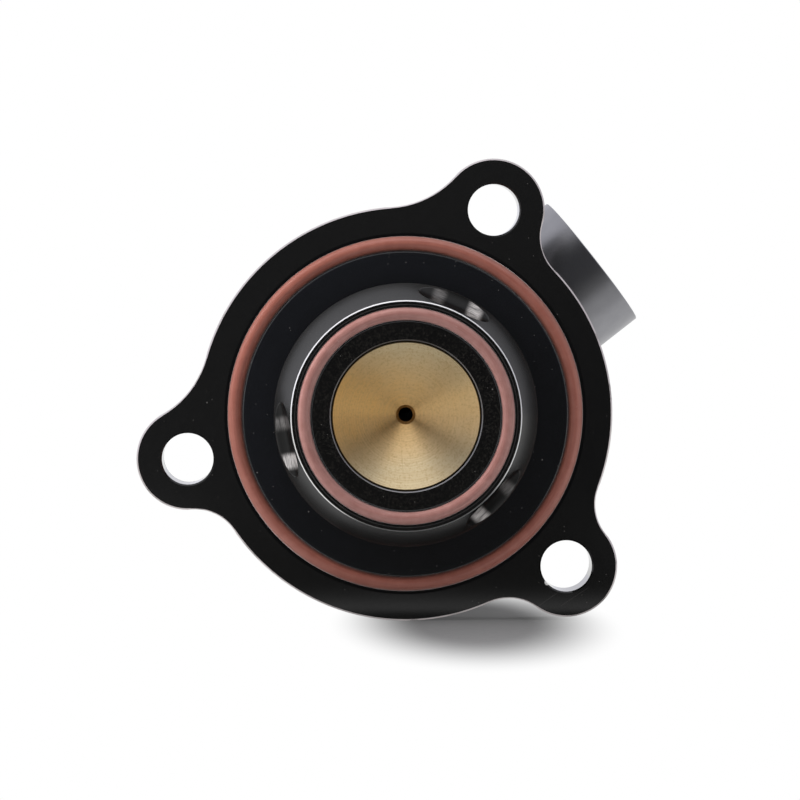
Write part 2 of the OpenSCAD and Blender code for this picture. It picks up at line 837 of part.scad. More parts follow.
valve_body();
flange_seal();
nose_seal();
piston();
piston_guide_ring();
return_spring();
guide_sleeve();
sleeve_seal();
vent_outlet();
vent_seal();
solenoid_housing();
housing_seal();
pole_plate();
flux_can();
coil_bobbin();
coil_winding();
plunger_tube();
pole_piece();
plunger();
plunger_tip();
plunger_spring();
terminal_pins();
solenoid_screws();
screw_washers();
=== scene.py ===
# %% [markdown]
# # A blow off valve, seen from the side that bolts to the compressor
#
# The solids come from the CAD frame and stay where they are. This lesson gives them their finishes:
# black anodised aluminium, turned brass, seal rubber, moulded plastic and plated steel. It also makes
# the pieces that want more than a plain solid: two springs and the wound coil.

# %% The frame
import math
from types import SimpleNamespace

import bmesh
import bpy
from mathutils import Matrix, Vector


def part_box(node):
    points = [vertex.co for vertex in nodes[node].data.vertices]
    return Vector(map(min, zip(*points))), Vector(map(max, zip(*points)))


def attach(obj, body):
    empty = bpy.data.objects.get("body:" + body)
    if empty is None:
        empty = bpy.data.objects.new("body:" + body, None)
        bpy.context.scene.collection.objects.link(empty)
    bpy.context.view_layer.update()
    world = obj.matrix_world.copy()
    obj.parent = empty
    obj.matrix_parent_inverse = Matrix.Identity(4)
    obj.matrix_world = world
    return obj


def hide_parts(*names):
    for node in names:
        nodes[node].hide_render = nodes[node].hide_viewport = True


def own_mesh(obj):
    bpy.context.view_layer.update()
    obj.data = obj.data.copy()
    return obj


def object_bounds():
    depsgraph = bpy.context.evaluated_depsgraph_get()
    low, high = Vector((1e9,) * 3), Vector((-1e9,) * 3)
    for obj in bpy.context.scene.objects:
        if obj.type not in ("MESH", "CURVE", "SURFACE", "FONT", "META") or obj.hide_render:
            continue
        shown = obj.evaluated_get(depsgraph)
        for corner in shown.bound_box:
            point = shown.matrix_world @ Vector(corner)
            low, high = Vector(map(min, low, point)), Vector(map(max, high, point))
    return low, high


MM = 0.001

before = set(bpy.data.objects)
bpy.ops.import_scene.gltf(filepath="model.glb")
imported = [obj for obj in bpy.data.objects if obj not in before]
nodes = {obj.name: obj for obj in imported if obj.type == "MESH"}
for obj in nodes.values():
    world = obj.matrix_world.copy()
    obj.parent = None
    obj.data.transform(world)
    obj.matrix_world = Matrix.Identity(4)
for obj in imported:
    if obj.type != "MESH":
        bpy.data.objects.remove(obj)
cad_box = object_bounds()
print(f"{len(nodes)} solids, box {[round(v / MM, 2) for corner in cad_box for v in corner]} mm")

# %% [markdown]
# ## Camera
#
# The photo was taken almost straight at the nose with a long lens: circles that lie deeper in the valve
# shift a little up and to the left. That shift gives the two angles, and the way circles shrink with
# depth gives the distance. The aim point is set off so that the middle of the mounting face falls on
# the pixel where the photo has it, which needs no lens shift.

# %% Camera
IMAGE_PX = 800
SENSOR_W = 36.0
FOCAL_PX = 3791
CAMERA_AZIMUTH = math.radians(-1.15)
CAMERA_ELEVATION = math.radians(2.46)
CAMERA_DISTANCE = 500 * MM
FACE_MIDDLE_PX = (405.35, 414.0)
CLIP_NEAR = 10 * MM
CLIP_FAR = 20.0


def back_direction(azimuth, elevation):
    """Unit vector from the valve towards the camera."""
    return Vector((
        math.sin(azimuth) * math.cos(elevation),
        -math.cos(azimuth) * math.cos(elevation),
        math.sin(elevation),
    ))


camera = bpy.data.objects.new("camera", bpy.data.cameras.new("camera"))
bpy.context.scene.collection.objects.link(camera)
camera.data.sensor_width = SENSOR_W
camera.data.lens = FOCAL_PX / IMAGE_PX * SENSOR_W
camera.data.clip_start = CLIP_NEAR
camera.data.clip_end = CLIP_FAR
camera.location = back_direction(CAMERA_AZIMUTH, CAMERA_ELEVATION) * CAMERA_DISTANCE
facing = (-camera.location).to_track_quat("-Z", "Y")
px = CAMERA_DISTANCE / FOCAL_PX
aim = facing @ Vector((
    (IMAGE_PX / 2 - FACE_MIDDLE_PX[0]) * px,
    (FACE_MIDDLE_PX[1] - IMAGE_PX / 2) * px,
    0,
))
camera.rotation_mode = "QUATERNION"
camera.rotation_quaternion = (aim - camera.location).to_track_quat("-Z", "Y")
bpy.context.scene.camera = camera
bpy.context.scene.view_settings.view_transform = "Standard"
print(f"lens {camera.data.lens:.1f} mm, one pixel is {px / MM:.3f} mm on the mounting face")

# %% [markdown]
# ## Sums that build shader nodes
#
# A finish is mostly arithmetic on places: how far a point is from the axis, whether it lies on the
# cone, how grainy it is there. Wiring Math nodes by hand hides that arithmetic, so a small class wraps
# a socket and lets Python's own operators add the nodes. Everything that isn't arithmetic comes from
# one method that makes any node, sets it up, and fills its sockets.

# %% Socket arithmetic
class Field:
    """A value that changes over a surface. Operators add Math nodes to its sheet."""

    def __init__(self, sheet, socket):
        self.sheet = sheet
        self.socket = socket

    def math(self, operation, *values):
        return self.sheet.node("ShaderNodeMath", {"operation": operation}, dict(enumerate(values)))

    def __add__(self, other):
        return self.math("ADD", self, other)

    def __sub__(self, other):
        return self.math("SUBTRACT", self, other)

    def __rsub__(self, other):
        return self.math("SUBTRACT", other, self)

    def __mul__(self, other):
        return self.math("MULTIPLY", self, other)

    def __truediv__(self, other):
        return self.math("DIVIDE", self, other)

    def __rtruediv__(self, other):
        return self.math("DIVIDE", other, self)

    def __pow__(self, other):
        return self.math("POWER", self, other)

    def __lt__(self, other):
        return self.math("LESS_THAN", self, other)

    def __gt__(self, other):
        return self.math("GREATER_THAN", self, other)

    def __neg__(self):
        return self.math("MULTIPLY", self, -1)

    def __abs__(self):
        return self.math("ABSOLUTE", self)

    def sine(self):
        return self.math("SINE", self)

    __radd__ = __add__
    __rmul__ = __mul__


print("operators ready")

# %% [markdown]
# A sheet is a node tree with a few words for what finishes need again and again: soft steps and bands,
# blended colours, the three axes of a vector, and what kind of ray is asking.

# %% Node sheets
MIX_COLOUR_SOCKETS = (6, 7)
MIX_COLOUR_OUT = 2
RAYS = ("Is Camera Ray", "Is Glossy Ray", "Is Transmission Ray")


class Sheet:
    """A node tree, written as expressions."""

    def __init__(self, tree):
        self.tree = tree
        tree.nodes.clear()

    def node(self, kind, settings=None, sockets=None, out=0):
        made = self.tree.nodes.new(kind)
        for name, value in (settings or {}).items():
            setattr(made, name, value)
        for key, value in (sockets or {}).items():
            if isinstance(value, Field):
                self.tree.links.new(value.socket, made.inputs[key])
            else:
                made.inputs[key].default_value = value
        return Field(self, made.outputs[out]) if made.outputs else None

    def rise(self, value, low, high):
        """0 below low, 1 above high, smooth between; low may be the larger."""
        return self.node(
            "ShaderNodeMapRange",
            {"interpolation_type": "SMOOTHSTEP"},
            {"Value": value, "From Min": low, "From Max": high},
        )

    def band(self, value, low, high, soft):
        """1 between low and high, with soft edges."""
        return self.rise(value, low - soft, low + soft) * self.rise(value, high + soft, high - soft)

    def blend(self, factor, a, b):
        """Colour a where factor is 0 and colour b where it is 1."""
        first, second = MIX_COLOUR_SOCKETS
        return self.node(
            "ShaderNodeMix",
            {"data_type": "RGBA"},
            {0: factor, first: a, second: b},
            out=MIX_COLOUR_OUT,
        )

    def scaled(self, vector, factor):
        return self.node("ShaderNodeVectorMath", {"operation": "SCALE"}, {0: vector, "Scale": factor})

    def split(self, vector, axes="XYZ"):
        return [self.node("ShaderNodeSeparateXYZ", None, {0: vector}, out=axis) for axis in axes]

    def join(self, **axes):
        return self.node("ShaderNodeCombineXYZ", None, axes)

    def rays(self):
        """Three fields: 1 if the ray comes from the camera, a mirroring surface, or through glass."""
        path = self.node("ShaderNodeLightPath").socket.node
        return [Field(self, path.outputs[name]) for name in RAYS]


print("sheets ready")

# %% [markdown]
# A finish is a sheet with one Principled shader. Its coordinates are the millimetres of the CAD frame,
# so the sizes in a finish can be read off the drawing.

# %% Finishes
class Finish(Sheet):
    """A material on one Principled shader, with coordinates in millimetres."""

    def __init__(self, name, **constants):
        self.material = bpy.data.materials.new(name)
        self.material.use_nodes = True
        super().__init__(self.material.node_tree)
        shader = self.node("ShaderNodeBsdfPrincipled")
        self.shader = shader.socket.node
        self.node("ShaderNodeOutputMaterial", None, {"Surface": shader})
        for socket, value in constants.items():
            self.shader.inputs[socket.replace("_", " ")].default_value = value
        metres = self.node("ShaderNodeTexCoord", out="Object")
        self.place = self.scaled(metres, 1 / MM)
        self.x, self.y, self.z = self.split(self.place)

    def feed(self, **fields):
        for socket, field in fields.items():
            self.tree.links.new(field.socket, self.shader.inputs[socket.replace("_", " ")])

    def noise(self, scale, detail=2.0, roughness=0.5, place=None):
        return self.node("ShaderNodeTexNoise", None, {
            "Vector": place or self.place, "Scale": scale, "Detail": detail, "Roughness": roughness})

    def bump(self, height, depth, strength):
        """Normal of a surface raised by height times depth, in millimetres."""
        return self.node("ShaderNodeBump", None, {
            "Strength": strength, "Distance": depth * MM, "Height": height})

    def far_from_axis(self):
        """Distance from the valve axis, which runs along Y."""
        return (self.x * self.x + self.z * self.z) ** 0.5

    def forward(self, normal):
        """1 where the surface looks at the compressor, 0 where it looks sideways."""
        (depth,) = self.split(self.node("ShaderNodeNewGeometry", out=normal), "Y")
        return -depth


print("finishes ready")

# %% [markdown]
# ## Studio
#
# Product photos of dark metal are taken in a white tent: black anodising shows only what it mirrors.
# Behind and beside the valve all is white, while the room in front of it is dim, which keeps the flange
# face black and draws bright lines on every bevel. Between the side cards and the softbox overhead the
# tent is dark, and the dish of the piston mirrors that gap as two dark wedges. The card at the left is
# a little brighter than the one at the right, and in mirrors both are slightly cool.
#
# To the camera the background is plain white. As a source of light it is weaker, and lights the sides
# of things more than their fronts, as a tent does.

# %% World
WHITE = (1, 1, 1, 1)
CARD_TINT = (0.94, 0.94, 1, 1)
DIM_ROOM = 0.1
ROOM_TO_TENT = (-0.95, -0.05)
GAP_HEIGHTS = (0.32, 0.56, 0.09)
GAP_AHEAD = (-0.2, -0.4)
GAP_DARKNESS = 0.72
LEFT_LEAN = 0.2
FRONT_FILL = 0.24
BACK_FILL = 0.95

world = bpy.data.worlds.new("studio")
world.use_nodes = True
bpy.context.scene.world = world
studio = Sheet(world.node_tree)
aside, depth, height = studio.split(studio.node("ShaderNodeTexCoord", out="Generated"))
behind = studio.rise(depth, *ROOM_TO_TENT)
gap = studio.band(height, *GAP_HEIGHTS) * studio.rise(depth, *GAP_AHEAD)
cards = (DIM_ROOM + (1 - DIM_ROOM) * behind) * (1 - GAP_DARKNESS * gap) * (1 - LEFT_LEAN * aside)
fill = FRONT_FILL + (BACK_FILL - FRONT_FILL) * behind
to_camera, to_gloss, to_glass = studio.rays()
mirrored = (1 - to_camera) * (to_gloss + to_glass)
scattered = (1 - to_camera) * (1 - to_gloss) * (1 - to_glass)
brightness = to_camera + mirrored * cards + scattered * fill
tint = studio.blend(mirrored, WHITE, CARD_TINT)
background = studio.node("ShaderNodeBackground", None, {"Color": studio.scaled(tint, brightness)})
studio.node("ShaderNodeOutputWorld", None, {"Surface": background})
print("world: white tent, dim room in front")

# %% [markdown]
# Three lamps do the rest. The one overhead is what the lower half of the brass dish mirrors. The one at
# the back throws the shadow forward, and the one at the upper left models the seals. These two are kept
# out of reflections, because their edges would show in the polished cone.

# %% Softboxes
def softbox(name, place, width, height, radiance, mirrored=True):
    """A lamp of even brightness that faces the valve, and may be kept out of reflections."""
    lamp = bpy.data.lights.new(name, "AREA")
    lamp.shape = "RECTANGLE"
    lamp.size = width
    lamp.size_y = height
    lamp.energy = math.pi * width * height * radiance
    box = bpy.data.objects.new(name, lamp)
    box.visible_glossy = mirrored
    bpy.context.scene.collection.objects.link(box)
    box.location = place
    box.rotation_mode = "QUATERNION"
    box.rotation_quaternion = (-Vector(place)).to_track_quat("-Z", "Y")
    print(f"{name}: {lamp.energy:.2f} W")
    return box


softbox("overhead_softbox", place=(0.0, -0.24, 0.55), width=0.56, height=0.36, radiance=0.62)
softbox("back_softbox", place=(0.05, 0.5, 0.7), width=0.6, height=0.6, radiance=3.6, mirrored=False)
side_light = softbox(
    "upper_left_softbox", place=(-0.61, -0.07, 0.43), width=0.5, height=0.5, radiance=9.0, mirrored=False)

# %% [markdown]
# ## Floor
#
# The valve stands on the edge of its flange, on a plain pale card. The lamp at the upper left is kept
# off the card, since the photo has one shadow only. The card ends a little way in front, where the
# flange face would mirror it.

# %% Floor sheet
FLOOR_HALF_W = 4.0
FLOOR_FRONT = -0.2
FLOOR_BACK = 6.0

floor_level = cad_box[0].z
floor_mesh = bpy.data.meshes.new("floor")
corners = [
    (-FLOOR_HALF_W, FLOOR_FRONT, 0),
    (FLOOR_HALF_W, FLOOR_FRONT, 0),
    (FLOOR_HALF_W, FLOOR_BACK, 0),
    (-FLOOR_HALF_W, FLOOR_BACK, 0),
]
floor_mesh.from_pydata(corners, [], [(0, 1, 2, 3)])
floor = bpy.data.objects.new("floor", floor_mesh)
floor.location.z = floor_level
bpy.context.scene.collection.objects.link(floor)

unlit = bpy.data.collections.new("not_lit_from_the_side")
unlit.objects.link(floor)
unlit.collection_objects[0].light_linking.link_state = "EXCLUDE"
side_light.light_linking.receiver_collection = unlit
print(f"floor at {floor_level / MM:.2f} mm")

# %% [markdown]
# Close to the valve, inside an oval, the card shows the cast shadow on paper darkened to grey, a painted
# shadow, and turns into pure white farther off, so that no horizon shows.

# %% Oval of the shadow
SHADOW_MIDDLE = (9 * MM, -4 * MM, 0)
SHADOW_SPAN = (1 / (19.5 * MM), 1 / (60 * MM), 0)
SHADOW_CORE = 0.35
SHADOW_VEIL = 0.07

card = bpy.data.materials.new("pale_card")
card.use_nodes = True
floor_mesh.materials.append(card)
sheet = Sheet(card.node_tree)
spot = sheet.node("ShaderNodeTexCoord", out="Object")
away = sheet.node("ShaderNodeVectorMath", {"operation": "SUBTRACT"}, {0: spot, 1: SHADOW_MIDDLE})
spans = sheet.node("ShaderNodeVectorMath", {"operation": "MULTIPLY"}, {0: away, 1: SHADOW_SPAN})
distance = sheet.node("ShaderNodeVectorMath", {"operation": "LENGTH"}, {0: spans}, out="Value")
veil = SHADOW_VEIL + (1 - SHADOW_VEIL) * sheet.rise(distance, SHADOW_CORE, 1.0)
print("shadow oval round", [round(v / MM, 1) for v in SHADOW_MIDDLE[:2]], "mm")

# %% [markdown]
# Reflections see a card without that shadow: white behind the flange and grey before it. Three places
# on it are as dim as the room. The strip in front is what the flange face mirrors, and leaves that face
# black. The apron beside it gives the vent its dark side. Underfoot, where the flange touches the card,
# a painted shadow darkens it, and the lowest edge of the flange mirrors that painted shadow.

# %% Card in reflections
NEAR_CARD = 0.7
CARD_WHITENS = (-12 * MM, 10 * MM)
STRIP_AHEAD = (-18 * MM, -44 * MM)
STRIP_ASIDE = (50 * MM, 30 * MM)
APRON_AHEAD = (-48 * MM, -62 * MM)
APRON_ACROSS = (35 * MM, 90 * MM, 10 * MM)
FOOT_X = 9 * MM
FOOT_AHEAD = (-13 * MM, 0, 3 * MM)
FOOT_ASIDE = (32 * MM, 20 * MM)

across, ahead = sheet.split(spot, "XY")
strip = sheet.rise(ahead, *STRIP_AHEAD) * sheet.rise(abs(across), *STRIP_ASIDE)
apron = sheet.rise(ahead, *APRON_AHEAD) * sheet.band(across, *APRON_ACROSS)
# Painted shadow on the card where the flange stands, seen only in reflections.
underfoot_shadow = sheet.band(ahead, *FOOT_AHEAD) * sheet.rise(abs(across - FOOT_X), *FOOT_ASIDE)
lit = (1 - strip) * (1 - apron) * (1 - underfoot_shadow)
whiteness = NEAR_CARD + (1 - NEAR_CARD) * sheet.rise(ahead, *CARD_WHITENS)
image = DIM_ROOM + (whiteness - DIM_ROOM) * lit
print("card in reflections: three dim places")

# %% [markdown]
# The camera sees dark grey paper inside the oval, a painted shadow over the cast one, and white round it.
# Mirrors see the image worked out above, and all other light falls on plain white paper.

# %% Card finish
BLACK = (0, 0, 0, 1)
SHADOW_PAPER_TONES = ((0.19, 0.188, 0.195, 1), (0.23, 0.227, 0.231, 1))
CARD_BOUNCE = (0.8, 0.8, 0.8, 1)
FIBRES_PER_METRE = 900.0

to_camera, to_gloss, to_glass = sheet.rays()
fibre = sheet.node("ShaderNodeTexNoise", None, {"Vector": spot, "Scale": FIBRES_PER_METRE, "Detail": 3.0})
# Painted shadow: the camera sees this dark grey paper, much darker than the paper that bounces light.
shadow_tone = sheet.blend(fibre, *SHADOW_PAPER_TONES)
paper = sheet.node("ShaderNodeBsdfDiffuse", None, {"Color": sheet.blend(to_camera, CARD_BOUNCE, shadow_tone)})
glow = sheet.blend(to_camera + (1 - to_camera) * image, BLACK, WHITE)
white = sheet.node("ShaderNodeEmission", None, {"Color": glow})
surface = sheet.node("ShaderNodeMixShader", None, {
    0: to_camera * veil + to_gloss + to_glass, 1: paper, 2: white})
sheet.node("ShaderNodeOutputMaterial", None, {"Surface": surface})
print(card.name, len(card.node_tree.nodes), "nodes")

# %% [markdown]
# ## Black anodised aluminium
#
# The body is one turned and milled piece. Anodising is a thin hard oxide with a black dye: close to
# black from the front, and a clear mirror at a slant. One material does it all, because the place alone
# says which part is which: the distance from the axis, the depth along it, and the way the face looks.

# %% Body sizes
REGISTER_R = 21.4
NOSE_BASE_R = 17.3
NOSE_TIP_R = 15.1
NOSE_FRONT = -6.8
CONE_FRONT = -6.65
CONE_BACK = -3.35
CONE_SLOPE = (NOSE_BASE_R - NOSE_TIP_R) / (CONE_BACK - CONE_FRONT)
BOLT_CIRCLE_R = 29.3
BOLT_HOLE_R = 3.4
EAR_ANGLES = [66.6, 191.6, 316.6]


def round_the_axis(radius, angle):
    """A point on the mounting face as (x, z), in millimetres."""
    return radius * math.cos(math.radians(angle)), radius * math.sin(math.radians(angle))


BOLT_HOLES = [round_the_axis(BOLT_CIRCLE_R, angle) for angle in EAR_ANGLES]
print("bolt holes at", [tuple(round(v, 2) for v in hole) for hole in BOLT_HOLES])

# %% [markdown]
# Marks that other finishes use too: how far a point of the face is from another, a straight hairline,
# and a scatter of specks. A cell pattern gives each cell one point and one random tint, so a speck sits
# in those cells whose tint falls below the share asked for.

# %% Marks on a face
def to_point(finish, x, z):
    """Distance from a point, looking along the valve axis."""
    across, up = finish.x - x, finish.z - z
    return (across * across + up * up) ** 0.5


def scratch(finish, start, end, width):
    """1 along a straight hairline between two points of the face, fading at its ends."""
    run = Vector(end) - Vector(start)
    length = run.length
    along_x, along_z = run / length
    across, up = finish.x - start[0], finish.z - start[1]
    along = across * along_x + up * along_z
    aside = abs(up * along_x - across * along_z)
    return finish.rise(aside, width, 0) * finish.band(along, 0, length, length / 8)


def specks(finish, cell, size, share):
    """1 on a few round specks, one in some of the cells of a random pattern."""
    pattern = finish.node("ShaderNodeTexVoronoi", None, {"Vector": finish.place, "Scale": 1 / cell})
    tint = Field(finish, pattern.socket.node.outputs["Color"])
    chance = finish.node("ShaderNodeSeparateColor", None, {0: tint})
    return finish.rise(pattern, size / cell, size / cell / 2) * (chance < share)


print("marks ready")

# %% [markdown]
# Masks say where things are. Each is 1 on its part of the body and 0 elsewhere. The scallops are the
# places where the surface lies deeper than the cone would. All bevels look half forward, half outward,
# so one band of slants finds them, and the distance from the axis and the holes tells them apart.

# %% Zones of the body
FRONT_SLANTS = (0.9, 0.97)
BEVEL_SLANTS = (0.64, 0.78, 0.02)
NOSE_DEPTHS = (-1.0, -1.1)
RIM_DEPTHS = (NOSE_FRONT + 0.3, NOSE_FRONT + 0.2)
TIP_RIM_RADII = (14.8, 14.9)
BORE_RIM_RADII = (10.2, 10.1)
CONE_RADII = (NOSE_TIP_R - 0.8, NOSE_BASE_R + 0.05, 0.02)
LAND_RADII = (NOSE_TIP_R, NOSE_TIP_R - 0.05)
REGISTER_RADII = (NOSE_BASE_R, REGISTER_R, 0.05)
SCALLOP_DEPTHS = (0.03, 0.07)
OUTER_RADII = (REGISTER_R + 2.6, REGISTER_R + 2.8)
HOLE_BEVEL_RADII = (BOLT_HOLE_R + 0.4, BOLT_HOLE_R + 0.6)
HOLE_WALL_R = BOLT_HOLE_R + 0.05


def body_zones(coat):
    """Masks of the body's parts, and the distance from the axis."""
    radius = coat.far_from_axis()
    forward = coat.forward("True Normal")
    front = coat.rise(forward, *FRONT_SLANTS)
    nose = coat.rise(coat.y, *NOSE_DEPTHS)
    cone = coat.band(radius, *CONE_RADII) * nose * (1 - front)
    sunk = NOSE_TIP_R + (coat.y - CONE_FRONT) * CONE_SLOPE - radius
    slanted = coat.band(abs(forward), *BEVEL_SLANTS)
    rims = slanted * coat.rise(coat.y, *RIM_DEPTHS)
    outer = coat.rise(radius, *OUTER_RADII)
    holes = 0
    for hole in BOLT_HOLES:
        off = to_point(coat, *hole)
        outer = outer * coat.rise(off, *HOLE_BEVEL_RADII)
        holes = holes + (off < HOLE_WALL_R)
    return SimpleNamespace(
        radius=radius,
        front=front,
        register=coat.band(radius, *REGISTER_RADII) * front,
        cone=cone,
        scallop=coat.rise(sunk, *SCALLOP_DEPTHS) * cone,
        land=coat.rise(radius, *LAND_RADII) * nose * front,
        bevel=slanted * outer * coat.rise(coat.noise(0.35), 0.1, 0.5),
        tip_rim=rims * coat.rise(radius, *TIP_RIM_RADII),
        bore_rim=rims * coat.rise(radius, *BORE_RIM_RADII),
        holes=holes,
    )


print("body zones ready")

# %% [markdown]
# Marks come next. Each scallop gets two pale painted highlight bands across it, one strong and one
# weak, streaked along the cut. The flange carries a little dust, and beside the third hole two
# hairlines and a nick at its edge. On the land of the nose, round the piston, two thin lines are left
# from turning.

# %% Wear and painted highlights on the body
STRONG_BAND = (1.9, 3.8, 0.4)
WEAK_BAND = (1.5, 3.0, 0.5)
STRONG_SIDES = [-1, 1, -1]
WEAK_SHARE = 0.3
STREAK_STRETCH = 0.06
NICK_AT = (18.8, -22.3)
NICK_RADII = (0.45, 0.3)
NICK_DEPTHS = (1.0, 0.6)
TURNED_LINES = ((14.5, 0.4), (12.3, 0.7))
TURNED_W = 0.06


# Painted highlights: the pale bands stand in for the lamps' reflections in each scallop.
def scallop_highlight_bands(coat):
    """Two pale painted highlight bands across each scallop, streaked along the cut."""
    marks = 0
    for angle, side in zip(EAR_ANGLES, STRONG_SIDES):
        out_x, out_z = round_the_axis(1, angle)
        aside = coat.z * out_x - coat.x * out_z
        outward = coat.x * out_x + coat.z * out_z
        streaks = coat.noise(9.0, 3.0, 0.6, place=coat.join(X=outward, Y=coat.y, Z=aside * STREAK_STRETCH))
        strong = coat.band(aside * side, *STRONG_BAND)
        weak = WEAK_SHARE * coat.band(aside * -side, *WEAK_BAND)
        marks = marks + (strong + weak) * (outward > 0) * (0.3 + 0.7 * coat.rise(streaks, 0.4, 0.62))
    return marks


def turned_lines(coat, radius):
    """Thin rings round the axis, each with its own strength."""
    lines = 0
    for at, strength in TURNED_LINES:
        lines = lines + strength * coat.band(radius, at, at + TURNED_W, 0.04)
    return lines


def body_wear(coat, zones):
    """Masks of what use and machining left on the body, and of the painted highlight bands in the
    scallops.
    """
    long_hairline = scratch(coat, (20.6, -25.4), (24.2, -23.0), width=0.06)
    short_hairline = scratch(coat, (17.4, -25.6), (20.2, -23.6), width=0.07)
    fine_dust = specks(coat, cell=0.8, size=0.07, share=0.35)
    coarse_dust = specks(coat, cell=2.2, size=0.13, share=0.2)
    return SimpleNamespace(
        scallop_highlights=scallop_highlight_bands(coat) * zones.scallop,
        dust=(fine_dust + coarse_dust) * zones.front,
        hairlines=short_hairline + long_hairline,
        nick=coat.rise(to_point(coat, *NICK_AT), *NICK_RADII) * coat.rise(coat.y, *NICK_DEPTHS),
        turned=turned_lines(coat, zones.radius),
    )


print("body wear ready")

# %% [markdown]
# Colours follow the zones. The flange face is the plainest part, and the dye runs lighter towards the
# upper left and darker towards the lower right. The ring inside the flange seal is a shade bluer, and the
# land is soiled with a fine brownish grain. The bevel round the flange has lost its dye and shows as a
# pale line. So has the rim of the nose, and towards its upper left it is painted whiter, a painted
# highlight. The scallops take pale painted highlight bands.

# %% Body colours
DYE = ((0.0028, 0.0028, 0.0026, 1), (0.0088, 0.0088, 0.0086, 1))
BLUE_DYE = ((0.0018, 0.002, 0.0024, 1), (0.0085, 0.0095, 0.0125, 1))
SOIL = ((0.0015, 0.0013, 0.001, 1), (0.016, 0.0145, 0.012, 1))
TURNED_GREY = (0.12, 0.12, 0.125, 1)
DUST = (0.42, 0.4, 0.38, 1)
SCALLOP_HIGHLIGHT_METAL = (0.58, 0.55, 0.54, 1)
BEVEL_METAL = (0.62, 0.57, 0.57, 1)
TIP_METAL_AND_HIGHLIGHT = ((0.68, 0.68, 0.68, 1), (1, 0.99, 0.98, 1))
BORE_METAL = (0.3, 0.3, 0.31, 1)
NICK_METAL = (0.85, 0.85, 0.84, 1)


def body_colour(coat, zones, wear):
    # The dye tone runs lighter towards the upper left and darker towards the lower right, with a random
    # cloud.
    cloud_and_slope = 0.4 * coat.noise(0.6, 3.0) + 0.6 * coat.rise(coat.z - coat.x, -30, 30)
    soil = coat.rise(coat.noise(3.2, 4.0, 0.75), 0.48, 0.66)
    highlit_side = coat.rise(0.5 * coat.z - coat.x, -16, 16)
    colour = coat.blend(cloud_and_slope, *DYE)
    colour = coat.blend(zones.register, colour, coat.blend(cloud_and_slope, *BLUE_DYE))
    colour = coat.blend(zones.land, colour, coat.blend(soil, *SOIL))
    colour = coat.blend(wear.turned * zones.land, colour, TURNED_GREY)
    colour = coat.blend(wear.dust * 0.3 + wear.hairlines * 0.06, colour, DUST)
    # Painted highlight bands in the scallops.
    colour = coat.blend(wear.scallop_highlights, colour, SCALLOP_HIGHLIGHT_METAL)
    colour = coat.blend(zones.bevel * 0.95, colour, BEVEL_METAL)
    # Bare rim of the nose, with a painted highlight that whitens it towards the upper left.
    colour = coat.blend(zones.tip_rim, colour, coat.blend(highlit_side, *TIP_METAL_AND_HIGHLIGHT))
    colour = coat.blend(zones.bore_rim, colour, BORE_METAL)
    return coat.blend(wear.nick, colour, NICK_METAL)


print("body colours ready")

# %% [markdown]
# Gloss parts the zones as much as colour does. The flange is fine-turned, the cone polished enough to
# mirror the white tent past the flange, the scallops smokier, the bare bevels dull. Fine grain and the
# lathe's rings go into the normal.

# %% Body finish
FLANGE_ROUGH = 0.07
GRAIN_ROUGH = 0.07
REGISTER_ROUGH = 0.14
CONE_ROUGH = 0.17
SCALLOP_ROUGH = 0.13
SCALLOP_HIGHLIGHT_ROUGH = 0.1
LAND_ROUGH = 0.25
BARE_ROUGH = 0.32
HOLE_ROUGH = 0.02
SCALLOP_SMOKE = 0.55
LATHE_RINGS = 42.0


def body_gloss(coat, zones, wear, grain, bare):
    """Roughness, zone by zone."""
    polished = CONE_ROUGH + SCALLOP_ROUGH * zones.scallop + SCALLOP_HIGHLIGHT_ROUGH * wear.scallop_highlights
    rough = FLANGE_ROUGH + GRAIN_ROUGH * grain
    rough = rough + zones.register * (REGISTER_ROUGH - rough)
    rough = rough + zones.cone * (polished - rough)
    rough = rough + zones.land * (LAND_ROUGH - rough)
    rough = rough + bare * (BARE_ROUGH - rough)
    return rough + zones.holes * (HOLE_ROUGH - rough)


def black_anodise():
    coat = Finish("black_anodise", IOR=1.52)
    zones = body_zones(coat)
    wear = body_wear(coat, zones)
    grain = coat.noise(14.0, 3.0)
    bare = zones.bevel + zones.tip_rim + zones.bore_rim
    smoky = SCALLOP_SMOKE * zones.scallop * (1 - wear.scallop_highlights)
    rings = (zones.radius * LATHE_RINGS).sine()
    height = grain * 0.2 * (1 - zones.cone) + rings * 0.12 * zones.front * (1 - zones.land)
    coat.feed(
        Base_Color=body_colour(coat, zones, wear),
        Roughness=body_gloss(coat, zones, wear, grain, bare),
        Metallic=bare + smoky,
        Normal=coat.bump(height, 0.006, 0.5),
    )
    return coat.material


body_finish = black_anodise()
print(body_finish.name, len(body_finish.node_tree.nodes), "nodes")

# %% [markdown]
# ## Turned brass
#
# The piston's dish is turned on a lathe. It is a shallow cone, so each sector of it mirrors another
# part of the studio, and that gives the bright and dark wedges; a painted highlight further on pales
# the brass towards the bottom, top and right. The tool leaves rings finer than the eye can part. They
# are drawn in the normal, which rocks in and out along the radius by a degree or two.

# %% Rings in brass
RING_PITCHES = (0.31, 0.19)
RING_SWING = 0.03


def rocked_normal(brass, radius, rings):
    """The surface's normal, swung in and out along the radius by the tool's rings."""
    wave = (rings - 0.5) * 2
    for pitch in RING_PITCHES:
        wave = wave + (radius * (2 * math.pi / pitch)).sine()
    outward = brass.join(X=brass.x / radius, Z=brass.z / radius)
    swing = brass.scaled(outward, wave * RING_SWING)
    flat = brass.node("ShaderNodeNewGeometry", out="Normal")
    rocked = brass.node("ShaderNodeVectorMath", {"operation": "ADD"}, {0: flat, 1: swing})
    return brass.node("ShaderNodeVectorMath", {"operation": "NORMALIZE"}, {0: rocked})


print("rings every", RING_PITCHES, "mm")

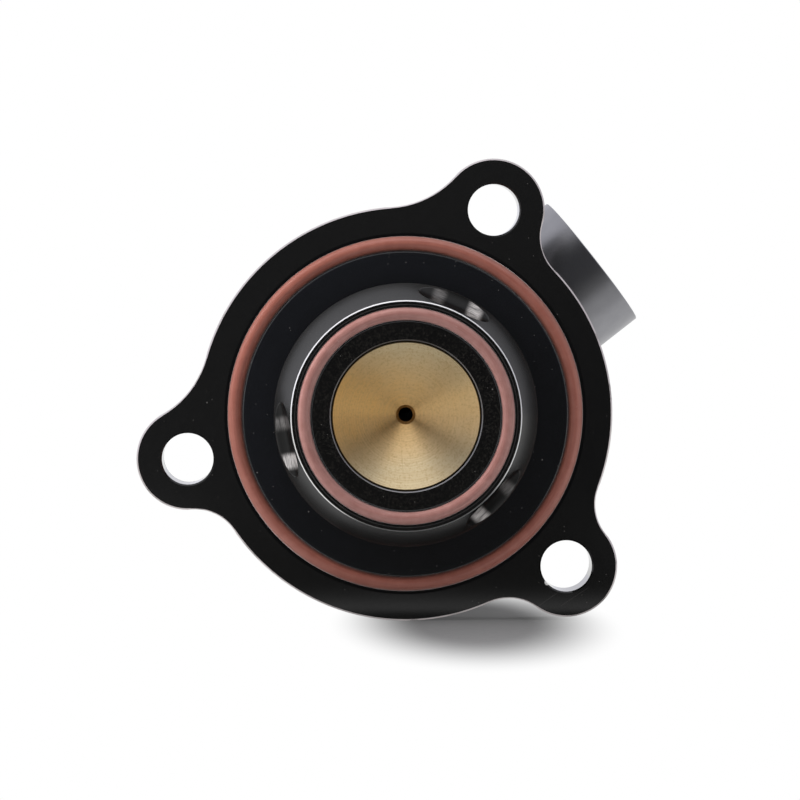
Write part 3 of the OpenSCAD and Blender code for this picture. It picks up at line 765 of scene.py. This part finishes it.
# %% [markdown]
# The metal is painted paler along the upright through the pilot hole, most of all below it, and towards
# the right, as a painted highlight, and browner at the left; a random stain, a fine grain and two
# hairlines are laid over it.

# %% Brass finish
DISH_R = 9.5
BRASS_AND_HIGHLIGHT = ((0.75, 0.445, 0.155, 1), (0.79, 0.655, 0.41, 1))
RING_BROWN = (0.6, 0.41, 0.19, 1)
GRAIN_BROWN = (0.5, 0.33, 0.13, 1)


def turned_brass():
    brass = Finish("turned_brass", Metallic=1.0)
    radius = brass.far_from_axis()
    rings = brass.noise(4.0, 3.0, 0.6, place=brass.join(X=radius, Y=brass.y * 0.3))
    stain = brass.noise(0.5, 3.0)
    grain = brass.noise(3.2, 4.0, 0.75)
    upper_hairline = scratch(brass, (4.9, 6.0), (5.8, 6.6), width=0.08)
    lower_hairline = scratch(brass, (-0.6, -4.4), (-0.4, -7.6), width=0.09)
    across, up = brass.x / DISH_R, brass.z / DISH_R
    # Painted highlight: paler towards the bottom, top and right of the dish, browner at the left, with a
    # random stain.
    tone_shift = 0.15 + 0.3 * across - 0.3 * up + 1.3 * up * up + 0.3 * (stain - 0.5)
    colour = brass.blend(tone_shift, *BRASS_AND_HIGHLIGHT)
    colour = brass.blend(0.4 * brass.rise(rings, 0.25, 0.75), colour, RING_BROWN)
    browned = 0.45 * brass.rise(grain, 0.48, 0.64) + 0.35 * (upper_hairline + lower_hairline)
    colour = brass.blend(browned, colour, GRAIN_BROWN)
    rough = 0.27 + 0.06 * stain + 0.06 * grain
    brass.feed(Base_Color=colour, Roughness=rough, Normal=rocked_normal(brass, radius, rings))
    return brass.material


brass_finish = turned_brass()
print(brass_finish.name, len(brass_finish.node_tree.nodes), "nodes")

# %% [markdown]
# ## Seal rubber
#
# The two seals in the photo are red-brown, the outer one deeper, the inner one dusty and paler. Moulded
# rubber has a soft shine, a faint mottle, smears that run round the ring, and a film of talc. The film
# shines at a slant, and is rubbed off where the seal dips into its groove. The black seals inside the
# valve are the same stuff with another dye.

# %% Rubber finishes
LINT = (0.6, 0.5, 0.46, 1)
DIPS_INTO_GROOVE = (0.35, 0.15)


def seal_rubber(name, deep, dusty, skin, shine):
    rubber = Finish(name, IOR=1.75, Sheen_Weight=1.0, Sheen_Roughness=0.4)
    radius = rubber.far_from_axis()
    mottle = rubber.noise(0.9, 4.0, 0.6)
    powder = rubber.noise(9.0, 3.0, 0.7)
    smears = rubber.noise(2.5, 3.0, 0.6, place=rubber.join(
        X=radius * 2, Y=rubber.x / radius, Z=rubber.z / radius))
    lint = specks(rubber, cell=0.9, size=0.06, share=0.25)
    colour = rubber.blend(rubber.rise(mottle * 0.5 + smears * 0.5, 0.35, 0.65), deep, dusty)
    colour = rubber.blend(lint * 0.5, colour, LINT)
    tone_shift = rubber.rise(rubber.forward("Normal"), *DIPS_INTO_GROOVE)
    colour = rubber.blend(tone_shift * 0.8, colour, skin)
    rough = shine + 0.12 * powder
    rubber.feed(Base_Color=colour, Roughness=rough, Normal=rubber.bump(powder, 0.012, 0.4))
    return rubber.material


flange_seal_finish = seal_rubber(
    "red_rubber",
    deep=(0.312, 0.081, 0.05, 1), dusty=(0.372, 0.113, 0.077, 1), skin=(0.3, 0.06, 0.035, 1), shine=0.36)
nose_seal_finish = seal_rubber(
    "dusty_rubber",
    deep=(0.336, 0.131, 0.11, 1), dusty=(0.42, 0.19, 0.165, 1), skin=(0.36, 0.085, 0.06, 1), shine=0.42)
black_seal_finish = seal_rubber(
    "black_rubber",
    deep=(0.014, 0.013, 0.013, 1), dusty=(0.03, 0.028, 0.027, 1), skin=(0.012, 0.012, 0.012, 1), shine=0.4)
print("three rubbers")

# %% [markdown]
# ## Vent tube
#
# The tube is turned from aluminium too, but its dye is thin: it looks like dark satin metal, pale where
# it mirrors the tent and nearly black where it mirrors the room. Fine rings run round its own axis.
# They need the distance along the tube, which is one dot product with the tube's direction.

# %% Vent finish
VENT_ANGLE = 38
THIN_DYE = ((0.24, 0.24, 0.255, 1), (0.31, 0.31, 0.325, 1))
VENT_SPECK = (0.7, 0.69, 0.68, 1)


def vent_anodise():
    coat = Finish("vent_anodise", Metallic=1.0)
    lean_x, lean_z = round_the_axis(1, VENT_ANGLE)
    along = coat.x * lean_x + coat.z * lean_z
    rings = coat.noise(22.0, 2.0, place=coat.join(X=along))
    colour = coat.blend(coat.noise(0.5, 3.0), *THIN_DYE)
    colour = coat.blend(specks(coat, cell=1.7, size=0.06, share=0.2) * 0.4, colour, VENT_SPECK)
    rough = 0.3 + 0.06 * rings
    coat.feed(Base_Color=colour, Roughness=rough, Normal=coat.bump(rings, 0.0012, 0.5))
    return coat.material


vent_finish = vent_anodise()
print(vent_finish.name, len(vent_finish.node_tree.nodes), "nodes")

# %% [markdown]
# ## Moulded plastics
#
# The solenoid's shell is glass-filled nylon, black and slightly grey where the fibres come to the
# surface, with a fine spark-eroded grain. The bobbin is the same plastic without dye, and the guide
# ring in the piston is a slippery white bearing plastic.

# %% Plastic finishes
def moulded(name, deep, pale, rough_from, grain_depth):
    plastic = Finish(name, IOR=1.53)
    grain = plastic.noise(16.0, 2.0)
    flow = plastic.noise(0.35, 4.0, 0.6)
    fibres = plastic.noise(5.0, 5.0, 0.7)
    colour = plastic.blend(plastic.rise(flow * 0.6 + fibres * 0.4, 0.35, 0.65), deep, pale)
    rough = rough_from + 0.2 * fibres
    plastic.feed(Base_Color=colour, Roughness=rough, Normal=plastic.bump(grain, grain_depth, 0.6))
    return plastic.material


housing_finish = moulded("grained_nylon", (0.012, 0.012, 0.013, 1), (0.03, 0.031, 0.033, 1), 0.42, 0.03)
bobbin_finish = moulded("natural_nylon", (0.52, 0.47, 0.37, 1), (0.66, 0.62, 0.52, 1), 0.35, 0.01)
guide_finish = moulded("bearing_plastic", (0.78, 0.77, 0.74, 1), (0.86, 0.85, 0.83, 1), 0.3, 0.006)
print("three plastics")

# %% [markdown]
# ## Bare and plated metals
#
# Inside and behind sit plain metals: turned aluminium, soft iron with a zinc coat, drawn spring wire,
# tinned terminals and enamelled copper. One function makes them all. Each has its tint, a gloss that
# wanders with the plating, and fine lines from how the piece was made.

# %% Metal finishes
RINGS_ROUND_Y = (0.15, 4.0, 0.15)
EVEN = (1.0, 1.0, 1.0)
ALONG_X = (0.2, 3.0, 3.0)


def metal(name, tint, worn, rough_from, line_scale, line_stretch):
    plate = Finish(name, Metallic=1.0)
    stretched = plate.node(
        "ShaderNodeVectorMath", {"operation": "MULTIPLY"}, {0: plate.place, 1: line_stretch})
    lines = plate.noise(line_scale, 3.0, place=stretched)
    stain = plate.noise(0.8, 4.0, 0.6)
    colour = plate.blend(stain, tint, worn)
    rough = rough_from + 0.14 * lines + 0.1 * stain
    plate.feed(Base_Color=colour, Roughness=rough, Normal=plate.bump(lines, 0.004, 0.4))
    return plate.material


sleeve_finish = metal(
    "turned_aluminium", (0.66, 0.67, 0.68, 1), (0.58, 0.59, 0.6, 1), 0.24, 8.0, RINGS_ROUND_Y)
iron_finish = metal("zinced_iron", (0.5, 0.5, 0.51, 1), (0.42, 0.42, 0.42, 1), 0.28, 6.0, RINGS_ROUND_Y)
screw_finish = metal("zinced_steel", (0.56, 0.56, 0.57, 1), (0.46, 0.46, 0.46, 1), 0.26, 9.0, EVEN)
spring_finish = metal("spring_wire", (0.4, 0.4, 0.41, 1), (0.32, 0.32, 0.33, 1), 0.25, 10.0, EVEN)
terminal_finish = metal("tinned_brass", (0.74, 0.71, 0.63, 1), (0.66, 0.62, 0.53, 1), 0.22, 7.0, ALONG_X)
copper_finish = metal("enamelled_copper", (0.56, 0.2, 0.08, 1), (0.44, 0.15, 0.06, 1), 0.2, 6.0, EVEN)
print("six metals")

# %% [markdown]
# ## Dressing the solids
#
# Every solid whose shape is right stays, and only takes its finish.

# %% Finishes onto solids
DRESS = {
    "valve_body": body_finish,
    "flange_seal": flange_seal_finish,
    "nose_seal": nose_seal_finish,
    "piston": brass_finish,
    "piston_guide_ring": guide_finish,
    "guide_sleeve": sleeve_finish,
    "sleeve_seal": black_seal_finish,
    "vent_outlet": vent_finish,
    "vent_seal": black_seal_finish,
    "solenoid_housing": housing_finish,
    "housing_seal": black_seal_finish,
    "pole_plate": iron_finish,
    "flux_can": iron_finish,
    "coil_bobbin": bobbin_finish,
    "plunger_tube": iron_finish,
    "pole_piece": iron_finish,
    "plunger": iron_finish,
    "plunger_tip": black_seal_finish,
    "terminal_pins": terminal_finish,
    "solenoid_screws": screw_finish,
    "screw_washers": screw_finish,
}
for name, finish in DRESS.items():
    mesh = nodes[name].data
    mesh.materials.clear()
    mesh.materials.append(finish)
print(f"{len(DRESS)} solids dressed")

# %% [markdown]
# ## Springs
#
# Each spring is a wire wound at an even pitch, with its end turns closed. The solids carry a coarse
# wire, so finer ones stand for them here. First the line that the wire follows: over its first and its
# last turn it climbs by one wire, so these turns lie closed, and it climbs evenly between them.

# %% Spring line
STEPS_PER_TURN = 48


def spring_line(turns, wire, length):
    """Angle and distance from the fixed end, for each step along the wire."""
    count = turns * STEPS_PER_TURN
    closed = 1 / turns
    line = []
    for i in range(count + 1):
        u = i / count
        free = min(1.0, max(0.0, (u - closed) / (1 - 2 * closed)))
        end_rise = wire * (min(u, closed) + max(0.0, u - 1 + closed)) / closed
        line.append((2 * math.pi * turns * u, wire / 2 + end_rise + (length - 3 * wire) * free))
    return line


print(f"{STEPS_PER_TURN} steps a turn")

# %% [markdown]
# A ring of points is set round the line at each step, and neighbouring rings are joined. Rings are also
# what the coil needs further on, so the joining is a function of its own.

# %% Springs
WIRE_SIDES = 16


def skin(shape, rings):
    """Joins each ring of points to the next one with faces."""
    for near, far in zip(rings, rings[1:]):
        for k in range(len(near)):
            n = (k + 1) % len(near)
            shape.faces.new((near[k], near[n], far[n], far[k]))


def into_piece(name, shape, finish):
    """Turns a bmesh into a smooth object with its finish."""
    bmesh.ops.recalc_face_normals(shape, faces=shape.faces)
    mesh = bpy.data.meshes.new(name)
    shape.to_mesh(mesh)
    shape.free()
    mesh.shade_smooth()
    mesh.materials.append(finish)
    piece = bpy.data.objects.new(name, mesh)
    bpy.context.scene.collection.objects.link(piece)
    return piece


def wound_spring(name, node, finish, wire, turns):
    """A closed-end coil in the box of its solid."""
    low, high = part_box(node)
    middle_r = (high.x - low.x) / 2 - wire / 2
    length = high.y - low.y
    shape = bmesh.new()
    rings = []
    for angle, along in spring_line(turns, wire, length):
        ring = []
        for k in range(WIRE_SIDES):
            side = 2 * math.pi * k / WIRE_SIDES
            r = middle_r + wire / 2 * math.cos(side)
            y = high.y - along + wire / 2 * math.sin(side)
            ring.append(shape.verts.new((r * math.cos(angle), y, r * math.sin(angle))))
        rings.append(ring)
    skin(shape, rings)
    shape.faces.new(rings[0][::-1])
    shape.faces.new(rings[-1])
    spring = into_piece(name, shape, finish)
    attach(spring, "valve")
    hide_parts(node)
    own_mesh(spring)
    print(f"{name}: {length / MM:.2f} mm, {turns} turns, {len(spring.data.polygons)} faces")


wound_spring("piston_return_spring", "return_spring", spring_finish,
             wire=1.2 * MM, turns=9)
wound_spring("pilot_plunger_spring", "plunger_spring", spring_finish,
             wire=0.5 * MM, turns=7)

# %% [markdown]
# ## Coil
#
# The winding is one wire, laid turn beside turn. From outside only its last layer shows, as a row of
# half-round ridges. A lathe makes that: the outline of the ridges is turned round the axis.

# %% Coil
WINDING_TURNS = 44
RIDGE_STEPS = 6
LATHE_STEPS = 96
BOBBIN_CORE_R = 6.3 * MM


def lathe(name, outline, steps, finish):
    """Turns a closed outline of (radius, y) points round the valve axis."""
    shape = bmesh.new()
    rings = []
    for i in range(steps):
        angle = 2 * math.pi * i / steps
        rings.append([
            shape.verts.new((r * math.cos(angle), y, r * math.sin(angle))) for r, y in outline])
    skin(shape, rings + rings[:1])
    return into_piece(name, shape, finish)


low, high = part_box("coil_winding")
ridge_r = (high.y - low.y) / WINDING_TURNS / 2
outline = [(BOBBIN_CORE_R, low.y), (BOBBIN_CORE_R, high.y)]
for turn in range(WINDING_TURNS):
    for step in range(RIDGE_STEPS):
        angle = math.pi * (step + 0.5) / RIDGE_STEPS
        outline.append((
            high.x - ridge_r + ridge_r * math.sin(angle),
            high.y - ridge_r * (2 * turn + 1) + ridge_r * math.cos(angle),
        ))
winding = lathe("wound_wire", outline, LATHE_STEPS, copper_finish)
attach(winding, "valve")
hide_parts("coil_winding")
print(f"winding: {WINDING_TURNS} turns, {len(winding.data.polygons)} faces")
